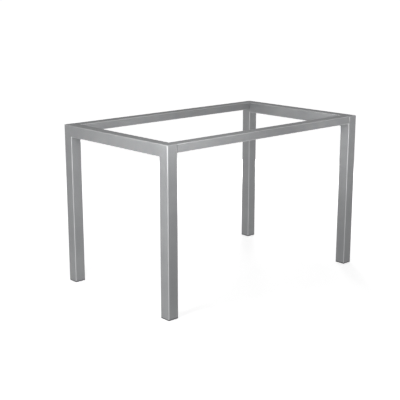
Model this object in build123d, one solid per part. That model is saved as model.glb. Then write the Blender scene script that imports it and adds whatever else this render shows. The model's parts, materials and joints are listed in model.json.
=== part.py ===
from build123d import *
import os

# Desk frame of powder-coated steel tube, without its worktop.
# Two end frames, each of two legs and an end rail mitred and welded into an upside-down U,
# are joined by two long rails that slide over spigots and are screwed from below.
# Millimetres. X runs along the long side, Y from front to back, Z up.
# The origin is on the floor, under the middle of the frame.

# Driving dimensions of the whole frame, measured outside
frame_length = 1130.0
frame_depth = 680.0
frame_height = 700.0

# Tube of the legs and end rails, and of the long rails, which lie flat
square_tube = 50.0
long_rail_height = 35.0
tube_wall = 2.0
tube_outer_radius = 4.0

# Mitred corners of the end frames: the outer edge is ground, the inner corner keeps its weld
ground_edge_radius = 1.5
inner_weld_size = 6.0

# Spigots, cut from thicker tube, that the long rails slide over
spigot_length = 90.0
spigot_wall = 3.0
spigot_corner_radius = 3.0
spigot_side_gap = 0.5
spigot_top_gap = 1.0

# One flat-headed M8 socket screw holds each rail end on its spigot, in a weld nut
screw_hole_diameter = 9.0
screw_distance_from_leg = 45.0
screw_shank_diameter = 7.8
screw_shank_length = 16.0
screw_head_diameter = 17.0
screw_head_height = 2.0
screw_head_chamfer = 0.5
screw_socket_across_flats = 5.0
screw_socket_depth = 3.0
nut_across_flats = 13.0
nut_height = 6.5
nut_bore_diameter = 8.0

# Holes for the worktop's wood screws: a small one in the top wall, and one below for the driver
worktop_hole_diameter = 6.0
driver_hole_diameter = 14.0
long_rail_hole_places = (-350.0, 0.0, 350.0)
end_rail_hole_places = (-150.0, 150.0)

# Ribbed plastic caps in the lower ends of the legs, which stand on the floor
cap_rim_height = 6.0
cap_rim_chamfer = 2.0
cap_body_width = 40.0
cap_body_wall = 2.0
cap_body_height = 22.0
cap_floor_height = 3.0
cap_body_chamfer = 0.8
cap_rib_gap = 0.1
cap_rib_chamfer = 1.5
cap_rib_thickness = 1.2
cap_rib_count = 4
cap_rib_pitch = 4.5
cap_first_rib = 3.0

# Places worked out from the dimensions above
tube_inner_radius = tube_outer_radius - tube_wall
square_tube_inside = square_tube - 2 * tube_wall
leg_x = (frame_length - square_tube) / 2
leg_y = (frame_depth - square_tube) / 2
end_rail_z = frame_height - square_tube / 2
long_rail_length = frame_length - 2 * square_tube
long_rail_z = frame_height - long_rail_height / 2
long_rail_underside = frame_height - long_rail_height
spigot_width = square_tube_inside - 2 * spigot_side_gap
spigot_height = long_rail_height - 2 * tube_wall - spigot_top_gap
spigot_underside = long_rail_underside + tube_wall
screw_x = long_rail_length / 2 - screw_distance_from_leg

ENDS = {"left": -1, "right": 1}
SIDES = {"front": -1, "back": 1}


# Shapes that several pieces share

def tube_section(width, height):
    """Hollow section of a welded tube, with its rounded corners."""
    outside = RectangleRounded(width, height, tube_outer_radius)
    inside = RectangleRounded(width - 2 * tube_wall, height - 2 * tube_wall, tube_inner_radius)
    return outside - inside


def upright_cylinder(diameter, x, y, z_low, z_high):
    """Cylinder along Z between two heights."""
    height = z_high - z_low
    return Pos(x, y, z_low) * Cylinder(diameter / 2, height, align=(Align.CENTER, Align.CENTER, Align.MIN))


def mitre_plane(side):
    """Plane at 45 degrees through the top corner of an end frame, facing up and inwards."""
    return Plane(origin=(0, side * frame_depth / 2, frame_height), x_dir=(1, 0, 0), z_dir=(0, -side, 1))


def ground_corner_waste(end, side):
    """What grinding takes off the sharp outer edge of a mitred corner."""
    edge_y = side * frame_depth / 2
    middle_y = edge_y - side * ground_edge_radius / 2
    middle_z = frame_height - ground_edge_radius / 2
    block = Pos(end * leg_x, middle_y, middle_z) * Box(square_tube, ground_edge_radius, ground_edge_radius)
    kept_y = edge_y - side * ground_edge_radius
    kept_z = frame_height - ground_edge_radius
    kept = Pos(end * leg_x, kept_y, kept_z) * Rot(0, 90, 0) * Cylinder(ground_edge_radius, square_tube)
    return block - kept


# End frames

def leg(end, side):
    """Square tube from the foot cap to the mitre under the worktop."""
    foot = Plane(origin=(end * leg_x, side * leg_y, cap_rim_height))
    tube = extrude(foot * tube_section(square_tube, square_tube), frame_height - cap_rim_height)
    tube = split(tube, bisect_by=mitre_plane(side), keep=Keep.BOTTOM)
    return tube - ground_corner_waste(end, side)


def end_rail(end):
    """Square tube across the top of an end frame, mitred at both ends, with the worktop's holes."""
    start = Plane(origin=(end * leg_x, -frame_depth / 2, end_rail_z), x_dir=(1, 0, 0), z_dir=(0, 1, 0))
    tube = extrude(start * tube_section(square_tube, square_tube), frame_depth)
    for side in SIDES.values():
        tube = split(tube, bisect_by=mitre_plane(side), keep=Keep.TOP)
        tube = tube - ground_corner_waste(end, side)
    for y in end_rail_hole_places:
        tube = tube - worktop_holes(end * leg_x, y, frame_height - square_tube)
    return tube


def worktop_holes(x, y, underside):
    """Screw hole through the top wall of a rail, and the driver's hole under it."""
    middle = (underside + frame_height) / 2
    screw_hole = upright_cylinder(worktop_hole_diameter, x, y, middle, frame_height + 1)
    driver_hole = upright_cylinder(driver_hole_diameter, x, y, underside - 1, middle)
    return screw_hole + driver_hole


def inner_weld(end, side):
    """Concave weld in the corner between a leg and the underside of its end rail."""
    corner_y = side * (frame_depth / 2 - square_tube)
    corner_z = frame_height - square_tube
    length = square_tube - 2 * tube_outer_radius
    inward = -side * inner_weld_size / 2
    bead = Pos(end * leg_x, corner_y + inward, corner_z - inner_weld_size / 2)
    bead = bead * Box(length, inner_weld_size, inner_weld_size)
    hollow = Pos(end * leg_x, corner_y - side * inner_weld_size, corner_z - inner_weld_size)
    hollow = hollow * Rot(0, 90, 0) * Cylinder(inner_weld_size, length)
    return bead - hollow


# Long rails and what holds them

def long_rail(side):
    """Flat tube between the end frames, with its screw holes below and the worktop's holes."""
    y = side * leg_y
    start = Plane(origin=(-long_rail_length / 2, y, long_rail_z), x_dir=(0, 1, 0), z_dir=(1, 0, 0))
    tube = extrude(start * tube_section(square_tube, long_rail_height), long_rail_length)
    for x in long_rail_hole_places:
        tube = tube - worktop_holes(x, y, long_rail_underside)
    below = long_rail_underside - 1
    for end in ENDS.values():
        tube = tube - upright_cylinder(screw_hole_diameter, end * screw_x, y, below, long_rail_z)
    return tube


def spigot(end, side):
    """Short tube welded to an end frame, with the screw's hole in its lower wall."""
    y = side * leg_y
    start_x = end * long_rail_length / 2
    z = spigot_underside + spigot_height / 2
    outside = RectangleRounded(spigot_width, spigot_height, spigot_corner_radius)
    inside = Rectangle(spigot_width - 2 * spigot_wall, spigot_height - 2 * spigot_wall)
    start = Plane(origin=(start_x, y, z), x_dir=(0, 1, 0), z_dir=(-end, 0, 0))
    tube = extrude(start * (outside - inside), spigot_length)
    return tube - upright_cylinder(screw_hole_diameter, end * screw_x, y, spigot_underside - 1, z)


def weld_nut(x, y):
    """Hexagon nut welded to the inside of a spigot's lower wall."""
    seat = spigot_underside + spigot_wall
    outline = RegularPolygon(nut_across_flats / 2, 6, major_radius=False)
    body = extrude(Pos(x, y, seat) * outline, nut_height)
    return body - upright_cylinder(nut_bore_diameter, x, y, seat - 1, seat + nut_height + 1)


def rail_screw(x, y):
    """Flat-headed socket screw, head down, with a plain shank in place of its thread."""
    seat = long_rail_underside
    face = seat - screw_head_height
    head = upright_cylinder(screw_head_diameter, x, y, face, seat)
    head = chamfer(head.faces().sort_by(Axis.Z)[0].edges(), screw_head_chamfer)
    shank = upright_cylinder(screw_shank_diameter, x, y, seat, seat + screw_shank_length)
    outline = RegularPolygon(screw_socket_across_flats / 2, 6, major_radius=False)
    socket = extrude(Pos(x, y, face) * outline, screw_socket_depth)
    return head + shank - socket


# Feet

def foot_cap(end, side):
    """Plastic cap: a rim as wide as the leg, and a hollow ribbed body pushed up inside the tube."""
    rim = extrude(RectangleRounded(square_tube, square_tube, tube_outer_radius), cap_rim_height)
    rim = chamfer(rim.faces().sort_by(Axis.Z)[0].edges(), cap_rim_chamfer)
    outline = Rectangle(cap_body_width, cap_body_width)
    body = extrude(Pos(0, 0, cap_rim_height) * outline, cap_body_height)
    body = chamfer(body.faces().sort_by(Axis.Z)[-1].edges(), cap_body_chamfer)
    rib_width = square_tube_inside - 2 * cap_rib_gap
    rib = chamfer(Rectangle(rib_width, rib_width).vertices(), cap_rib_chamfer)
    for number in range(cap_rib_count):
        z = cap_rim_height + cap_first_rib + number * cap_rib_pitch
        body = body + extrude(Pos(0, 0, z) * rib, cap_rib_thickness)
    hollow_width = cap_body_width - 2 * cap_body_wall
    hollow = extrude(Pos(0, 0, cap_floor_height) * Rectangle(hollow_width, hollow_width), frame_height)
    return Pos(end * leg_x, side * leg_y, 0) * (rim + body - hollow)


# Writing the files

def write(name, piece):
    """Writes one node, which may be a group of separate solids."""
    export_step(piece, f"parts/{name}.step")
    volume = piece.volume
    print(f"{name:26s} solids {len(piece.solids()):2d}  volume {volume / 1000:8.2f} cm3")
    return volume


def group(solids):
    """Identical small pieces in one node, each its own solid."""
    return Compound(children=[s.solid() for s in solids])


os.makedirs("parts", exist_ok=True)
rail_ends = [(end * screw_x, side * leg_y) for side in SIDES.values() for end in ENDS.values()]

steel = 0.0
plastic = 0.0
for end_name, end in ENDS.items():
    steel += write(f"{end_name}_end_rail", end_rail(end))
    steel += write(f"{end_name}_inner_welds", group([inner_weld(end, side) for side in SIDES.values()]))
    for side_name, side in SIDES.items():
        place = f"{side_name}_{end_name}"
        steel += write(f"{place}_leg", leg(end, side))
        steel += write(f"{place}_spigot", spigot(end, side))
        plastic += write(f"{place}_foot_cap", foot_cap(end, side))
for side_name, side in SIDES.items():
    steel += write(f"{side_name}_long_rail", long_rail(side))
steel += write("spigot_weld_nuts", group([weld_nut(x, y) for x, y in rail_ends]))
steel += write("rail_screws", group([rail_screw(x, y) for x, y in rail_ends]))
print(f"steel {steel / 1000:.1f} cm3, plastic {plastic / 1000:.1f} cm3")
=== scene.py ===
# %% [markdown]
# # A desk frame in silver powder coat
# The desk frame is a welded and screwed frame of steel tube. Its construction comes as a fixed
# frame of solids, in metres, and this file gives every solid its finish, models the few small
# pieces whose form is too fine for the solids, and sets up a floor, lamps and a camera.

import json
import math

import bpy
from mathutils import Matrix, Vector


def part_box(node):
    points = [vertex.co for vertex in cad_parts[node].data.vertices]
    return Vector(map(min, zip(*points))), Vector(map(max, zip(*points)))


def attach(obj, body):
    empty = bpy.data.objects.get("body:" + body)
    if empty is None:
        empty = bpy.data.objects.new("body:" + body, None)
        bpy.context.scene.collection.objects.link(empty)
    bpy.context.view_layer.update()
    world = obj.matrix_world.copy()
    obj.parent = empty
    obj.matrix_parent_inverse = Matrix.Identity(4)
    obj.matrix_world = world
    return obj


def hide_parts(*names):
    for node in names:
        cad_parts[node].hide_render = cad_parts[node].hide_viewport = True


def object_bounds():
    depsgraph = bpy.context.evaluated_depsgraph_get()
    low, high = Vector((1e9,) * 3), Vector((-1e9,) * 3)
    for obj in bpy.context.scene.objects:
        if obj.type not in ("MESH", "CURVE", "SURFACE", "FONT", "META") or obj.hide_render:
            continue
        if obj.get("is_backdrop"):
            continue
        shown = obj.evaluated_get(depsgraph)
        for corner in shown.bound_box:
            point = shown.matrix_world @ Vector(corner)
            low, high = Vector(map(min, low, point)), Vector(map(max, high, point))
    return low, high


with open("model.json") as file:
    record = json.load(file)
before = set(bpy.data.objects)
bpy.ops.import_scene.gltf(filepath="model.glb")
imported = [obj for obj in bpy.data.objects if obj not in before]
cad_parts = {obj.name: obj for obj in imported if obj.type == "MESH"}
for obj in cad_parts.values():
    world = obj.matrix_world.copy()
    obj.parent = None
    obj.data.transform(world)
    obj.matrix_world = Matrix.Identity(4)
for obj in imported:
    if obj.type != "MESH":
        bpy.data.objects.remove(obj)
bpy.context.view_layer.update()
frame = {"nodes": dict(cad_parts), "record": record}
nodes = frame["nodes"]

# %% [markdown]
# ## Colours
# A colour is written as the sRGB hex value that an eye or a colour chart gives. Blender's
# shaders work in linear light, so one function turns the hex value to linear.

# %% A colour from its hex value


def linear(hex_colour):
    """Linear RGBA of an sRGB hex value such as 8C8D8F."""
    channels = [int(hex_colour[i:i + 2], 16) / 255 for i in (0, 2, 4)]
    light = [c / 12.92 if c <= 0.04045 else ((c + 0.055) / 1.055) ** 2.4 for c in channels]
    return (*light, 1.0)


print("mid grey 808080 is", [round(c, 3) for c in linear("808080")])

# %% [markdown]
# ## Building a material from nodes
# A finish is a small graph: noise makes the pattern, a ramp or a mix turns it into colour or
# roughness, and a bump turns it into relief. One helper adds a node, sets its values and draws
# its links, so that each finish below reads as a list of its nodes. A Mix node has sockets of
# the same names for numbers and for colours, so those for colours are called by their places.

# %% One helper for nodes
COLOUR_A, COLOUR_B, MIXED_COLOUR = 6, 7, 2


def add_node(tree, kind, settings=None, values=None, links=None):
    """Adds a node, sets its settings and input values, and links other outputs to its inputs."""
    node = tree.nodes.new(kind)
    for name, value in (settings or {}).items():
        setattr(node, name, value)
    for name, value in (values or {}).items():
        node.inputs[name].default_value = value
    for name, output in (links or {}).items():
        tree.links.new(output, node.inputs[name])
    return node


def start_material(name):
    """An empty material with its output, and Object coordinates in metres."""
    material = bpy.data.materials.new(name)
    material.use_nodes = True
    tree = material.node_tree
    tree.nodes.clear()
    output = add_node(tree, "ShaderNodeOutputMaterial")
    place = add_node(tree, "ShaderNodeTexCoord").outputs["Object"]
    return material, tree, output, place


# %% Noise at a real size
MM = 0.001


def per_metre(size_mm):
    """Scale of a noise whose spots are about this many millimetres across."""
    return 1 / (size_mm * MM)


print("spots of 2 mm need a noise scale of", per_metre(2))

# %% [markdown]
# ## Rounded edges
# As powder coat melts, it draws back from the rounded edges, where it is then thinner and
# smoother. Each edge is also given a lighter colour, a painted highlight, so it shows as a fine
# bright line. The material has to know where the edges are. The tubes lie along the axes, so on a
# flat face the largest part of the normal is 1, and on a rounded edge it is less: no edge has to
# be painted by hand.

# %% A mask of the rounded edges
ON_FLAT_FACE = 0.99
ON_ROUNDED_EDGE = 0.9


def edge_mask(tree, strength):
    """0 on the flat faces, and this strength in the middle of the rounded edges."""
    normal = add_node(tree, "ShaderNodeTexCoord").outputs["Normal"]
    sizes = add_node(tree, "ShaderNodeVectorMath", {"operation": "ABSOLUTE"}, links={0: normal})
    parts = add_node(tree, "ShaderNodeSeparateXYZ", links={"Vector": sizes.outputs["Vector"]})
    larger = add_node(tree, "ShaderNodeMath", {"operation": "MAXIMUM"},
                      links={0: parts.outputs["X"], 1: parts.outputs["Y"]})
    largest = add_node(tree, "ShaderNodeMath", {"operation": "MAXIMUM"},
                       links={0: larger.outputs["Value"], 1: parts.outputs["Z"]})
    mask = add_node(tree, "ShaderNodeMapRange",
                    values={"From Min": ON_FLAT_FACE, "From Max": ON_ROUNDED_EDGE,
                            "To Min": 0.0, "To Max": strength},
                    links={"Value": largest.outputs["Value"]})
    return mask.outputs["Result"]


print("the edge line starts where a face has turned by",
      round(math.degrees(math.acos(ON_FLAT_FACE)), 1), "degrees")

# %% [markdown]
# ## Silver powder coat
# The tubes are sprayed with polyester powder that carries fine aluminium flakes, and baked. The
# eye gets a satin, neutral light grey with a soft sheen, a barely visible sparkle of flakes, and
# the gentle orange peel that the powder leaves as it flows. The flakes of 0.05 mm would vanish
# at the camera's distance, so they are drawn 0.6 mm across. The sheen is part metal, part clear
# resin, so the shader is partly metallic. Noise keeps near the middle of its range, from 0 to 1,
# so only the part that it fills, from a low to a high value, is spread over colour or roughness.

# %% The colours and sizes of the powder coat
COAT_LIGHT = linear("A4A5A6")
COAT_DARK = linear("939496")
# The edge colour is a painted highlight that makes the rounded edges show as bright lines.
COAT_EDGE_HIGHLIGHT = linear("CECFD0")
COAT_METALLIC = 0.3
COAT_SMOOTHEST = 0.5
COAT_ROUGHEST = 0.6
EDGE_ROUGHNESS = 0.38
FLAKE_SIZE_MM = 0.6
FLAKE_DEPTH_MM = 0.01
CLOUD_SIZE_MM = 140
CLOUD_SHARE = 0.4
PATTERN_LOW = 0.36
PATTERN_HIGH = 0.64
FLAKES_LOW = 0.3
FLAKES_HIGH = 0.7
ORANGE_PEEL_MM = 3.0
ORANGE_PEEL_DEPTH_MM = 0.04
print("flakes lie", FLAKE_SIZE_MM, "mm apart, and the waves of the orange peel", ORANGE_PEEL_MM)

# %% The colour and roughness of the coat


def coat_colour(tree, flakes, place, edge):
    """Grey that varies with flakes and clouds, and is lighter on the edges as a painted
    highlight.
    """
    clouds = add_node(tree, "ShaderNodeTexNoise",
                      values={"Scale": per_metre(CLOUD_SIZE_MM), "Detail": 3.0},
                      links={"Vector": place})
    pattern = add_node(tree, "ShaderNodeMix", values={"Factor": CLOUD_SHARE},
                       links={"A": flakes.outputs["Fac"], "B": clouds.outputs["Fac"]})
    spread = add_node(tree, "ShaderNodeMapRange",
                      values={"From Min": PATTERN_LOW, "From Max": PATTERN_HIGH},
                      links={"Value": pattern.outputs["Result"]})
    on_faces = add_node(tree, "ShaderNodeMix", {"data_type": "RGBA"},
                        {COLOUR_A: COAT_DARK, COLOUR_B: COAT_LIGHT},
                        {"Factor": spread.outputs["Result"]})
    # Mixing in the edge colour paints a highlight along the rounded edges.
    colour = add_node(tree, "ShaderNodeMix", {"data_type": "RGBA"}, {COLOUR_B: COAT_EDGE_HIGHLIGHT},
                      {"Factor": edge, COLOUR_A: on_faces.outputs[MIXED_COLOUR]})
    return colour.outputs[MIXED_COLOUR]


def coat_roughness(tree, flakes, edge):
    """Roughness that varies with the flakes, and is less on the edges."""
    on_faces = add_node(tree, "ShaderNodeMapRange",
                        values={"From Min": FLAKES_LOW, "From Max": FLAKES_HIGH,
                                "To Min": COAT_SMOOTHEST, "To Max": COAT_ROUGHEST},
                        links={"Value": flakes.outputs["Fac"]})
    roughness = add_node(tree, "ShaderNodeMix", values={"B": EDGE_ROUGHNESS},
                         links={"Factor": edge, "A": on_faces.outputs["Result"]})
    return roughness.outputs["Result"]


# %% The powder coat on tubes and welds
# These strengths set how much painted highlight and smoother coat the rounded edges get.
EDGES_OF_TUBES = 0.8
EDGES_OF_WELDS = 0.0


def make_powder_coat(name, edge_strength):
    """Satin silver powder coat with flakes, orange peel, and a smoother coat with a painted
    highlight on rounded edges.
    """
    material, tree, output, place = start_material(name)
    flakes = add_node(tree, "ShaderNodeTexNoise",
                      values={"Scale": per_metre(FLAKE_SIZE_MM), "Detail": 2.0, "Roughness": 0.6},
                      links={"Vector": place})
    peel = add_node(tree, "ShaderNodeTexNoise",
                    values={"Scale": per_metre(ORANGE_PEEL_MM), "Detail": 1.5},
                    links={"Vector": place})
    waves = add_node(tree, "ShaderNodeBump",
                     values={"Strength": 0.25, "Distance": ORANGE_PEEL_DEPTH_MM * MM},
                     links={"Height": peel.outputs["Fac"]})
    sparkle = add_node(tree, "ShaderNodeBump",
                       values={"Strength": 0.2, "Distance": FLAKE_DEPTH_MM * MM},
                       links={"Height": flakes.outputs["Fac"], "Normal": waves.outputs["Normal"]})
    edge = edge_mask(tree, edge_strength)
    shader = add_node(tree, "ShaderNodeBsdfPrincipled", values={"Metallic": COAT_METALLIC},
                      links={"Base Color": coat_colour(tree, flakes, place, edge),
                             "Roughness": coat_roughness(tree, flakes, edge),
                             "Normal": sparkle.outputs["Normal"]})
    tree.links.new(shader.outputs["BSDF"], output.inputs["Surface"])
    return material


powder_coat = make_powder_coat("silver_powder_coat_on_tube", EDGES_OF_TUBES)
weld_coat = make_powder_coat("silver_powder_coat_on_welds", EDGES_OF_WELDS)
print("made", powder_coat.name, "with", len(powder_coat.node_tree.nodes), "nodes")

# %% [markdown]
# ## Moulded plastic of the foot caps
# The caps are injection moulded in grey polyethylene. The mould is spark eroded, which leaves a
# matt, finely pitted skin, and the plastic scatters light softly, so it has no metal in it and a
# high roughness. The pits of 0.1 mm are drawn 0.4 mm across.

# %% The plastic of the caps
CAP_LIGHT = linear("77787A")
CAP_DARK = linear("6A6B6D")
CAP_SMOOTHEST = 0.5
CAP_ROUGHEST = 0.65
PLASTIC_IOR = 1.51
PIT_SIZE_MM = 0.4
PIT_DEPTH_MM = 0.03
FLOW_MARK_MM = 25


def make_cap_plastic():
    """Matt grey moulded polyethylene."""
    material, tree, output, place = start_material("grey_moulded_polyethylene")
    pits = add_node(tree, "ShaderNodeTexNoise",
                    values={"Scale": per_metre(PIT_SIZE_MM), "Detail": 2.0},
                    links={"Vector": place})
    flow = add_node(tree, "ShaderNodeTexNoise",
                    values={"Scale": per_metre(FLOW_MARK_MM), "Detail": 2.0},
                    links={"Vector": place})
    colour = add_node(tree, "ShaderNodeMix", {"data_type": "RGBA"},
                      {COLOUR_A: CAP_DARK, COLOUR_B: CAP_LIGHT}, {"Factor": flow.outputs["Fac"]})
    roughness = add_node(tree, "ShaderNodeMapRange",
                         values={"To Min": CAP_SMOOTHEST, "To Max": CAP_ROUGHEST},
                         links={"Value": pits.outputs["Fac"]})
    bump = add_node(tree, "ShaderNodeBump",
                    values={"Strength": 0.3, "Distance": PIT_DEPTH_MM * MM},
                    links={"Height": pits.outputs["Fac"]})
    shader = add_node(tree, "ShaderNodeBsdfPrincipled", values={"IOR": PLASTIC_IOR},
                      links={"Base Color": colour.outputs[MIXED_COLOUR],
                             "Roughness": roughness.outputs["Result"],
                             "Normal": bump.outputs["Normal"]})
    tree.links.new(shader.outputs["BSDF"], output.inputs["Surface"])
    return material


cap_plastic = make_cap_plastic()
print("made", cap_plastic.name)

# %% [markdown]
# ## Zinc plating on the screws
# The rail screws and the nuts that they turn into are steel with bright zinc plating: a cool
# metal with small cloudy patches where the plating is thicker.

# %% The zinc plating
ZINC_LIGHT = linear("C9CCD0")
ZINC_DARK = linear("A9ACB2")
ZINC_SMOOTHEST = 0.22
ZINC_ROUGHEST = 0.38
ZINC_PATCH_MM = 2.5
ZINC_PATCH_DEPTH_MM = 0.02


def make_zinc():
    """Bright zinc plated steel."""
    material, tree, output, place = start_material("bright_zinc_plating")
    patches = add_node(tree, "ShaderNodeTexNoise",
                       values={"Scale": per_metre(ZINC_PATCH_MM), "Detail": 4.0},
                       links={"Vector": place})
    colour = add_node(tree, "ShaderNodeMix", {"data_type": "RGBA"},
                      {COLOUR_A: ZINC_DARK, COLOUR_B: ZINC_LIGHT},
                      {"Factor": patches.outputs["Fac"]})
    roughness = add_node(tree, "ShaderNodeMapRange",
                         values={"To Min": ZINC_SMOOTHEST, "To Max": ZINC_ROUGHEST},
                         links={"Value": patches.outputs["Fac"]})
    bump = add_node(tree, "ShaderNodeBump",
                    values={"Strength": 0.2, "Distance": ZINC_PATCH_DEPTH_MM * MM},
                    links={"Height": patches.outputs["Fac"]})
    shader = add_node(tree, "ShaderNodeBsdfPrincipled", values={"Metallic": 1.0},
                      links={"Base Color": colour.outputs[MIXED_COLOUR],
                             "Roughness": roughness.outputs["Result"],
                             "Normal": bump.outputs["Normal"]})
    tree.links.new(shader.outputs["BSDF"], output.inputs["Surface"])
    return material


zinc = make_zinc()
print("made", zinc.name)

# %% [markdown]
# ## Finishes on the fixed frame
# Each solid already has the right shape, so it only takes its finish.

# %% Give each solid its finish
FINISHES = {"silver_powder_coat": powder_coat, "grey_cap_plastic": cap_plastic,
            "zinc_plated_steel": zinc}


def dress(piece, material):
    """Puts one material on a piece."""
    piece.data.materials.clear()
    piece.data.materials.append(material)


for part in frame["record"]["subparts"]:
    dress(nodes[part["node"]], FINISHES[part["material_slot"]])

# %% [markdown]
# ## Working on a piece
# New pieces are modelled with Blender's own operators, as by hand. An operator acts on all that
# is selected, so everything is deselected before a primitive is added. A modifier is added with
# its settings and applied at once, and a finished piece gets its finish and its body, and the
# solid that it stands for is hidden.

# %% Helpers for selecting


def choose(*objects):
    """Selects these objects alone and makes the first one active."""
    bpy.ops.object.select_all(action="DESELECT")
    for thing in objects:
        thing.select_set(True)
    bpy.context.view_layer.objects.active = objects[0]


def select_vertices(piece, wanted):
    """In edit mode, selects the vertices whose place passes a test."""
    bpy.ops.mesh.select_all(action="DESELECT")
    bpy.ops.object.mode_set(mode="OBJECT")
    for vertex in piece.data.vertices:
        vertex.select = wanted(vertex.co)
    bpy.ops.object.mode_set(mode="EDIT")


print("selected before any piece is made:", len(bpy.context.selected_objects), "objects")

# %% Helpers for modifiers, copies and the finished piece
SMOOTH_DEGREES = 35


def use_modifier(piece, kind, **settings):
    """Adds a modifier with its settings and applies it."""
    choose(piece)
    modifier = piece.modifiers.new(kind.lower(), kind)
    for name, value in settings.items():
        setattr(modifier, name, value)
    bpy.ops.object.modifier_apply(modifier=modifier.name)


def copy_to(piece, place, turn=0.0):
    """A copy with its own mesh, at a place and turned about Z."""
    copy = piece.copy()
    copy.data = piece.data.copy()
    bpy.context.scene.collection.objects.link(copy)
    copy.location = place
    copy.rotation_euler = (0, 0, turn)
    return copy


def join(pieces):
    """Joins pieces to one object."""
    choose(*pieces)
    bpy.ops.object.join()
    return bpy.context.object


def finish_piece(piece, name, material, replaced, smooth_degrees=SMOOTH_DEGREES):
    """Names a piece, puts its place into its mesh, gives it its finish and body, and hides the
    solid it replaces.
    """
    choose(piece)
    bpy.ops.object.transform_apply(location=True, rotation=True, scale=True)
    bpy.ops.object.shade_smooth_by_angle(angle=math.radians(smooth_degrees))
    piece.name = name
    dress(piece, material)
    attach(piece, "root")
    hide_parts(replaced)
    print(name, len(piece.data.polygons), "faces, replaces", replaced)


# %% [markdown]
# ## Weld beads in the inner corners
# Each leg is welded to its end rail. Outside, the weld is ground flush and vanishes under the
# coat, but in the inner corner it stays as a small concave bead, a row of crescent scales, one
# for each pulse of the arc. A bump map would give flat ends and a straight edge, so the scales
# are real: the outline is part of a circle, one scale is two extrusions of it, and an Array
# modifier repeats the scale along the corner.

# %% The outline of a bead
WELD_LEG = 6.0 * MM
ARC_STEPS = 16
SCALE_BULGE = 1.2 * MM
BULGE_REACH = 0.8 * WELD_LEG
NEAR = WELD_LEG / 1000


def bead_outline():
    """A concave arc from the rail to the leg, closed through the corner, which is the origin."""
    bpy.ops.object.select_all(action="DESELECT")
    bpy.ops.mesh.primitive_circle_add(vertices=4 * ARC_STEPS, radius=WELD_LEG,
                                      location=(0, -WELD_LEG, -WELD_LEG),
                                      rotation=(0, math.pi / 2, 0))
    outline = bpy.context.object
    bpy.ops.object.transform_apply(location=True, rotation=True, scale=True)
    bpy.ops.object.mode_set(mode="EDIT")
    # Only the quarter of the circle that faces the corner stays
    select_vertices(outline, lambda co: min(co.y, co.z) < -WELD_LEG - NEAR)
    bpy.ops.mesh.delete(type="VERT")
    # The middle of the arc leads and the rest follows, which makes the crescent of a scale
    select_vertices(outline, lambda co: abs(co.y - co.z) < NEAR)
    bpy.ops.transform.translate(value=(SCALE_BULGE, 0, 0), use_proportional_edit=True,
                                proportional_edit_falloff="SPHERE",
                                proportional_size=BULGE_REACH)
    # From the arc's upper end a line goes to the corner, and a second one closes the outline
    select_vertices(outline, lambda co: co.z > -NEAR)
    bpy.ops.mesh.extrude_region_move(TRANSFORM_OT_translate={"value": (0, WELD_LEG, 0)})
    select_vertices(outline, lambda co: co.y > -NEAR)
    bpy.ops.mesh.edge_face_add()
    bpy.ops.object.mode_set(mode="OBJECT")
    return outline


outline = bead_outline()
print("outline", len(outline.data.vertices), "points,", len(outline.data.edges), "edges")

# %% A bead of many scales
SCALE_PITCH = 1.6 * MM
SCALE_COUNT = 25
SCALE_WAIST = 0.84
WAIST_AT = 0.3


def bead_from(outline):
    """Extrudes a thin waist and a quick swell, repeats that scale, and closes both ends."""
    choose(outline)
    bpy.ops.object.mode_set(mode="EDIT")
    bpy.ops.mesh.select_all(action="SELECT")
    for part, size in ((WAIST_AT, SCALE_WAIST), (1 - WAIST_AT, 1 / SCALE_WAIST)):
        step = (part * SCALE_PITCH, 0, 0)
        bpy.ops.mesh.extrude_region_move(TRANSFORM_OT_translate={"value": step})
        bpy.ops.transform.resize(value=(1, size, size), center_override=(0, 0, 0))
    bpy.ops.object.mode_set(mode="OBJECT")
    use_modifier(outline, "ARRAY", count=SCALE_COUNT, use_relative_offset=False,
                 use_constant_offset=True, constant_offset_displace=(SCALE_PITCH, 0, 0),
                 use_merge_vertices=True, merge_threshold=SCALE_PITCH / 100)
    bpy.ops.object.mode_set(mode="EDIT")
    bpy.ops.mesh.select_all(action="SELECT")
    bpy.ops.mesh.fill_holes(sides=0)
    bpy.ops.mesh.select_all(action="SELECT")
    bpy.ops.mesh.normals_make_consistent(inside=False)
    middle = (SCALE_COUNT * SCALE_PITCH + SCALE_BULGE) / 2
    bpy.ops.transform.translate(value=(-middle, 0, 0))
    bpy.ops.object.mode_set(mode="OBJECT")
    return outline


bead = bead_from(outline)
print("bead", [round(size / MM, 2) for size in bead.dimensions], "mm")

# %% A bead in each inner corner
BEAD_SMOOTH_DEGREES = 50

for end in ("left", "right"):
    low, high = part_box(f"{end}_inner_welds")
    middle_x = (low.x + high.x) / 2
    beads = [copy_to(bead, (middle_x, high.y, high.z)),
             copy_to(bead, (middle_x, low.y, high.z), math.pi)]
    finish_piece(join(beads), f"{end}_weld_beads", weld_coat,
                 f"{end}_inner_welds", BEAD_SMOOTH_DEGREES)
bpy.data.objects.remove(bead)

# %% [markdown]
# ## Rail screws
# One flat-headed M8 socket screw holds each rail end from below. Its head is a thin disc with a
# rounded rim and a hexagonal socket, and its shank has a rolled thread above a short plain neck.
# The rim is bevelled, the socket is cut by a hexagonal prism, and the thread is a V of two edges
# that a Screw modifier winds along a helix.

# %% The head and neck of a rail screw
HEAD_RADIUS = 8.5 * MM
HEAD_HEIGHT = 2.0 * MM
HEAD_ROUNDING = 0.9 * MM
HEAD_ROUNDING_STEPS = 4
SOCKET_SIDES = 6
SOCKET_ACROSS_FLATS = 5.0 * MM
SOCKET_RADIUS = SOCKET_ACROSS_FLATS / 2 / math.cos(math.pi / SOCKET_SIDES)
SOCKET_DEPTH = 3.0 * MM
THREAD_RADIUS = 3.9 * MM
NECK_HEIGHT = 2.4 * MM
ROUND_STEPS = 48


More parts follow.
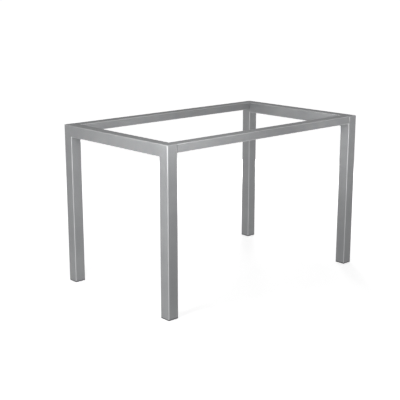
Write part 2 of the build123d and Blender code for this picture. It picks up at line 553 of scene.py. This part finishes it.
def screw_head():
    """A disc with a rounded rim, a hexagonal socket and a neck, with its seat at the origin."""
    bpy.ops.object.select_all(action="DESELECT")
    bpy.ops.mesh.primitive_cylinder_add(vertices=SOCKET_SIDES, radius=SOCKET_RADIUS,
                                        depth=2 * SOCKET_DEPTH, location=(0, 0, -HEAD_HEIGHT))
    prism = bpy.context.object
    bpy.ops.object.select_all(action="DESELECT")
    bpy.ops.mesh.primitive_cylinder_add(vertices=ROUND_STEPS, radius=HEAD_RADIUS,
                                        depth=HEAD_HEIGHT, location=(0, 0, -HEAD_HEIGHT / 2))
    head = bpy.context.object
    bpy.ops.object.transform_apply(location=True, rotation=True, scale=True)
    bpy.ops.object.mode_set(mode="EDIT")
    select_vertices(head, lambda co: co.z < -HEAD_HEIGHT / 2)
    bpy.ops.mesh.bevel(offset=HEAD_ROUNDING, segments=HEAD_ROUNDING_STEPS)
    select_vertices(head, lambda co: co.z > -HEAD_HEIGHT / 100)
    bpy.ops.mesh.inset(thickness=HEAD_RADIUS - THREAD_RADIUS)
    bpy.ops.mesh.extrude_region_move(TRANSFORM_OT_translate={"value": (0, 0, NECK_HEIGHT)})
    bpy.ops.object.mode_set(mode="OBJECT")
    use_modifier(head, "BOOLEAN", operation="DIFFERENCE", object=prism, solver="EXACT")
    bpy.data.objects.remove(prism)
    return head


head = screw_head()
print("head and neck", [round(size / MM, 2) for size in head.dimensions], "mm")

# %% The thread of a rail screw
THREAD_PITCH = 1.25 * MM
THREAD_DEPTH = 0.7 * MM
THREAD_TURNS = 10
SHANK_LENGTH = 16.0 * MM


def screw_thread():
    """A rod with one V-shaped tooth wound along a helix, closed, up to the shank's tip."""
    bpy.ops.object.select_all(action="DESELECT")
    bpy.ops.mesh.primitive_plane_add(size=THREAD_PITCH, rotation=(math.pi / 2, 0, 0))
    thread = bpy.context.object
    bpy.ops.object.transform_apply(location=True, rotation=True, scale=True)
    bpy.ops.object.mode_set(mode="EDIT")
    # The plane's outer edge shrinks to the tooth's crest. Its inner edge moves to the roots and
    # is deleted with the face, so a V of two edges stays
    select_vertices(thread, lambda co: co.x > 0)
    bpy.ops.mesh.merge(type="CENTER")
    bpy.ops.transform.translate(value=(THREAD_RADIUS - THREAD_PITCH / 2, 0, 0))
    select_vertices(thread, lambda co: co.x < 0)
    bpy.ops.transform.translate(value=(THREAD_RADIUS - THREAD_DEPTH + THREAD_PITCH / 2, 0, 0))
    bpy.ops.mesh.delete(type="EDGE_FACE")
    bpy.ops.object.mode_set(mode="OBJECT")
    use_modifier(thread, "SCREW", axis="Z", angle=2 * math.pi, screw_offset=THREAD_PITCH,
                 iterations=THREAD_TURNS, steps=ROUND_STEPS, render_steps=ROUND_STEPS)
    bpy.ops.object.mode_set(mode="EDIT")
    bpy.ops.mesh.select_all(action="SELECT")
    bpy.ops.mesh.remove_doubles(threshold=THREAD_PITCH / 1000)
    bpy.ops.mesh.fill_holes(sides=0)
    bpy.ops.mesh.select_all(action="SELECT")
    bpy.ops.mesh.normals_make_consistent(inside=False)
    rise = SHANK_LENGTH - THREAD_PITCH * (THREAD_TURNS + 0.5)
    bpy.ops.transform.translate(value=(0, 0, rise))
    bpy.ops.object.mode_set(mode="OBJECT")
    return thread


thread = screw_thread()
heights = [vertex.co.z / MM for vertex in thread.data.vertices]
print("thread from", round(min(heights), 2), "to", round(max(heights), 2), "mm above the seat")

# %% A screw for each rail end
first_screw = join([head, thread])
low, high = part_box("rail_screws")
seat = low.z + HEAD_HEIGHT
screws = [copy_to(first_screw, (x, y, seat))
          for x in (low.x + HEAD_RADIUS, high.x - HEAD_RADIUS)
          for y in (low.y + HEAD_RADIUS, high.y - HEAD_RADIUS)]
bpy.data.objects.remove(first_screw)
finish_piece(join(screws), "threaded_rail_screws", zinc, "rail_screws")

# %% [markdown]
# ## Moulded foot caps
# A moulded part has no sharp edge: each one is rounded by a few tenths of a millimetre, so that
# the plastic fills the mould and comes out of it. A copy of each cap's solid is merged into one
# clean mesh, its flat faces are dissolved, and its edges are bevelled.

# %% Round the edges of the caps
CAP_EDGE = 0.6 * MM
CAP_EDGE_STEPS = 3
SAME_POINT = 0.001 * MM
FLAT_DEGREES = 1
EDGE_DEGREES = 30


def moulded_cap(node_name):
    """A copy of a foot cap's solid with rounded edges."""
    cap = nodes[node_name].copy()
    cap.data = nodes[node_name].data.copy()
    cap.parent = None
    bpy.context.scene.collection.objects.link(cap)
    choose(cap)
    bpy.ops.object.mode_set(mode="EDIT")
    bpy.ops.mesh.select_all(action="SELECT")
    bpy.ops.mesh.remove_doubles(threshold=SAME_POINT)
    bpy.ops.mesh.dissolve_limited(angle_limit=math.radians(FLAT_DEGREES))
    bpy.ops.object.mode_set(mode="OBJECT")
    use_modifier(cap, "BEVEL", width=CAP_EDGE, segments=CAP_EDGE_STEPS, limit_method="ANGLE",
                 angle_limit=math.radians(EDGE_DEGREES))
    return cap


for place in ("front_left", "back_left", "front_right", "back_right"):
    cap = moulded_cap(f"{place}_foot_cap")
    finish_piece(cap, f"{place}_moulded_cap", cap_plastic,
                 f"{place}_foot_cap")

# %% [markdown]
# ## What only the camera and reflections see
# The studio has to look white without more light on the object. The floor and the walls can
# tell rays apart: those from the camera, from a reflection or through glass see a bright white,
# and those that light the matt surfaces don't.

# %% The rays that see a surface


def seen_rays(tree):
    """1 for rays from the camera, a reflection or glass, and 0 for light on matt surfaces."""
    path = add_node(tree, "ShaderNodeLightPath")
    first = add_node(tree, "ShaderNodeMath", {"operation": "MAXIMUM"},
                     links={0: path.outputs["Is Camera Ray"], 1: path.outputs["Is Glossy Ray"]})
    both = add_node(tree, "ShaderNodeMath", {"operation": "MAXIMUM"},
                    links={0: first.outputs["Value"], 1: path.outputs["Is Transmission Ray"]})
    return both.outputs["Value"]


# %% [markdown]
# ## Floor
# The floor is matt white and keeps the object's soft shadow. Where it is seen, it also glows a
# little. The glow is weaker under the frame, where the lamps light the floor themselves, and
# there a faint shadow stays around the feet. The floor is so large that its edge lies at the
# horizon.

# %% The floor
FLOOR_SIZE = 400.0
FLOOR_COLOUR = linear("E6E6E6")
FLOOR_PATCH = linear("E9E9E9")
FLOOR_PATCH_MM = 400
GLOW_UNDER_FRAME = 0.67
GLOW_FAR_AWAY = 0.82
LIT_BY_LAMPS = 0.5
BEYOND_LAMPS = 1.2


def floor_glow(tree, place):
    """A glow that is only seen, weaker near the origin than further away."""
    distance = add_node(tree, "ShaderNodeVectorMath", {"operation": "LENGTH"}, links={0: place})
    level = add_node(tree, "ShaderNodeMapRange",
                     values={"From Min": LIT_BY_LAMPS, "From Max": BEYOND_LAMPS,
                             "To Min": GLOW_UNDER_FRAME, "To Max": GLOW_FAR_AWAY},
                     links={"Value": distance.outputs["Value"]})
    strength = add_node(tree, "ShaderNodeMath", {"operation": "MULTIPLY"},
                        links={0: seen_rays(tree), 1: level.outputs["Result"]})
    glow = add_node(tree, "ShaderNodeEmission", links={"Strength": strength.outputs["Value"]})
    return glow.outputs["Emission"]


def make_floor():
    """A large white floor that glows only where it is seen."""
    bpy.ops.object.select_all(action="DESELECT")
    bpy.ops.mesh.primitive_plane_add(size=FLOOR_SIZE, location=(0, 0, 0))
    floor = bpy.context.object
    floor.name = "studio_floor"
    material, tree, output, place = start_material("matt_white_floor")
    grain = add_node(tree, "ShaderNodeTexNoise",
                     values={"Scale": per_metre(FLOOR_PATCH_MM), "Detail": 2.0},
                     links={"Vector": place})
    colour = add_node(tree, "ShaderNodeMix", {"data_type": "RGBA"},
                      {COLOUR_A: FLOOR_COLOUR, COLOUR_B: FLOOR_PATCH},
                      {"Factor": grain.outputs["Fac"]})
    matt = add_node(tree, "ShaderNodeBsdfDiffuse",
                    links={"Color": colour.outputs[MIXED_COLOUR]})
    both = add_node(tree, "ShaderNodeAddShader",
                    links={0: matt.outputs["BSDF"], 1: floor_glow(tree, place)})
    tree.links.new(both.outputs["Shader"], output.inputs["Surface"])
    floor.data.materials.append(material)
    floor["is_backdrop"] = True


make_floor()
print("floor", FLOOR_SIZE, "m wide")

# %% [markdown]
# ## Light from the room
# The studio has white walls and a dim ceiling, so upright faces get more light than the tops of
# the rails. Reflections see brighter walls, and overhead a pale light box, which the rounded top
# edges mirror as a fine line. The camera sees plain white all round.

# %% The room
WALL_FILL = 0.55
CEILING_FILL = 0.14
WALL_SEEN = 1.0
CEILING_SEEN = 0.15
WALL_TOP = 0.05
CEILING_START = 0.45
LIGHT_BOX_START = 0.5
LIGHT_BOX_FULL = 0.65
LIGHT_BOX_SEEN = 0.8
WHITE = 1.0


def mirrored_room(tree, height):
    """What reflections see: white walls, a dim ceiling and the light box overhead."""
    room = add_node(tree, "ShaderNodeMapRange",
                    values={"From Min": WALL_TOP, "From Max": CEILING_START,
                            "To Min": WALL_SEEN, "To Max": CEILING_SEEN},
                    links={"Value": height})
    light_box = add_node(tree, "ShaderNodeMapRange",
                         values={"From Min": LIGHT_BOX_START, "From Max": LIGHT_BOX_FULL,
                                 "To Min": 0.0, "To Max": LIGHT_BOX_SEEN},
                         links={"Value": height})
    brighter = add_node(tree, "ShaderNodeMath", {"operation": "MAXIMUM"},
                        links={0: room.outputs["Result"], 1: light_box.outputs["Result"]})
    return brighter.outputs["Value"]


def make_room():
    """Even fill from the walls for matt surfaces, and a brighter room where it is seen."""
    world = bpy.data.worlds.new("white_studio")
    bpy.context.scene.world = world
    world.use_nodes = True
    tree = world.node_tree
    tree.nodes.clear()
    output = add_node(tree, "ShaderNodeOutputWorld")
    direction = add_node(tree, "ShaderNodeTexCoord").outputs["Generated"]
    height = add_node(tree, "ShaderNodeSeparateXYZ", links={"Vector": direction}).outputs["Z"]
    fill = add_node(tree, "ShaderNodeMapRange",
                    values={"To Min": WALL_FILL, "To Max": CEILING_FILL},
                    links={"Value": height})
    mirrored = add_node(tree, "ShaderNodeMix",
                        links={"Factor": seen_rays(tree), "A": fill.outputs["Result"],
                               "B": mirrored_room(tree, height)})
    camera_ray = add_node(tree, "ShaderNodeLightPath").outputs["Is Camera Ray"]
    strength = add_node(tree, "ShaderNodeMix", values={"B": WHITE},
                        links={"Factor": camera_ray, "A": mirrored.outputs["Result"]})
    background = add_node(tree, "ShaderNodeBackground", values={"Color": linear("FFFFFF")},
                          links={"Strength": strength.outputs["Result"]})
    tree.links.new(background.outputs["Background"], output.inputs["Surface"])
    return world


print("made the world", make_room().name)

# %% [markdown]
# ## Lamps
# A lamp on the left, close to the near corner of the frame, makes that corner the brightest and
# lets the tubes fall off towards the far legs. A lamp with a narrow beam lifts the top of the
# front, two weak ones lift the far leg, one from the left and one from the front, and a lamp
# straight before the near corner draws a shine along its edge. A lamp behind the frame stands
# lower than its rails, so it lights the faces that look back and leaves the tops as they are.
# The camera sees none of them. Each line gives a lamp's name, its place, the point that it
# looks at, its width in metres, the spread of its beam in degrees and its power in watts.

# %% The lamps
LAMPS = [
    ("left_lamp", (-1.4, -0.35, 0.85), (-0.56, -0.2, 0.5), 0.5, 180, 5.8),
    ("front_lamp", (-0.9, -1.25, 1.0), (-0.5, -0.34, 0.85), 0.35, 60, 1.1),
    ("far_leg_lamp", (-0.9, -0.6, 0.9), (0.53, -0.3, 0.72), 0.3, 45, 0.5),
    ("far_corner_lamp", (-0.2, -1.2, 0.85), (0.53, -0.34, 0.66), 0.3, 40, 0.3),
    ("edge_lamp", (-1.5, -1.4, 0.7), (-0.56, -0.34, 0.4), 0.4, 180, 1.1),
    ("back_lamp", (2.0, 1.7, 0.4), (0.2, 0.1, 0.4), 0.5, 180, 34.0),
]


def add_lamp(name, place, aim, size, spread_degrees, watts):
    """A square soft lamp at a place, turned to an aim point, with its beam's spread."""
    data = bpy.data.lights.new(name, "AREA")
    data.shape = "SQUARE"
    data.size = size
    data.spread = math.radians(spread_degrees)
    data.energy = watts
    lamp = bpy.data.objects.new(name, data)
    lamp.visible_camera = False
    bpy.context.scene.collection.objects.link(lamp)
    turn = (Vector(aim) - Vector(place)).to_track_quat("-Z", "Y").to_matrix().to_4x4()
    lamp.matrix_world = Matrix.Translation(place) @ turn


for settings in LAMPS:
    add_lamp(*settings)

# %% [markdown]
# ## Camera
# The photograph looks at the frame from the front left and a little above. The camera's place
# and lens are in metres and millimetres, found by laying the frame's edges over the photograph.

# %% The camera
CAMERA_PLACE = Vector((-2.7141, -2.868, 1.3111))
CAMERA_TURN = math.radians(42.469)
CAMERA_TILT = math.radians(13.895)
LENS_MM = 81.14
SENSOR_MM = 36.0
FARTHEST_SEEN = 200


def make_camera():
    """The camera at the photograph's viewing angle."""
    data = bpy.data.cameras.new("photo_camera")
    data.lens = LENS_MM
    data.sensor_width = SENSOR_MM
    data.clip_end = FARTHEST_SEEN
    camera = bpy.data.objects.new("photo_camera", data)
    camera.location = CAMERA_PLACE
    camera.rotation_euler = (math.pi / 2 - CAMERA_TILT, 0, -CAMERA_TURN)
    bpy.context.scene.collection.objects.link(camera)
    bpy.context.scene.camera = camera
    return camera


camera = make_camera()
bpy.context.scene.view_settings.view_transform = "Standard"
print("camera", [round(c, 3) for c in camera.location])

# %% [markdown]
# ## The size of the dressed frame
# The dressed frame has to stay inside the box of the fixed frame, so the dressed frame's box is
# printed.

# %% Print the size of the dressed frame
low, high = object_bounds()
print("visual box", [round(h - l, 4) for l, h in zip(low, high)])
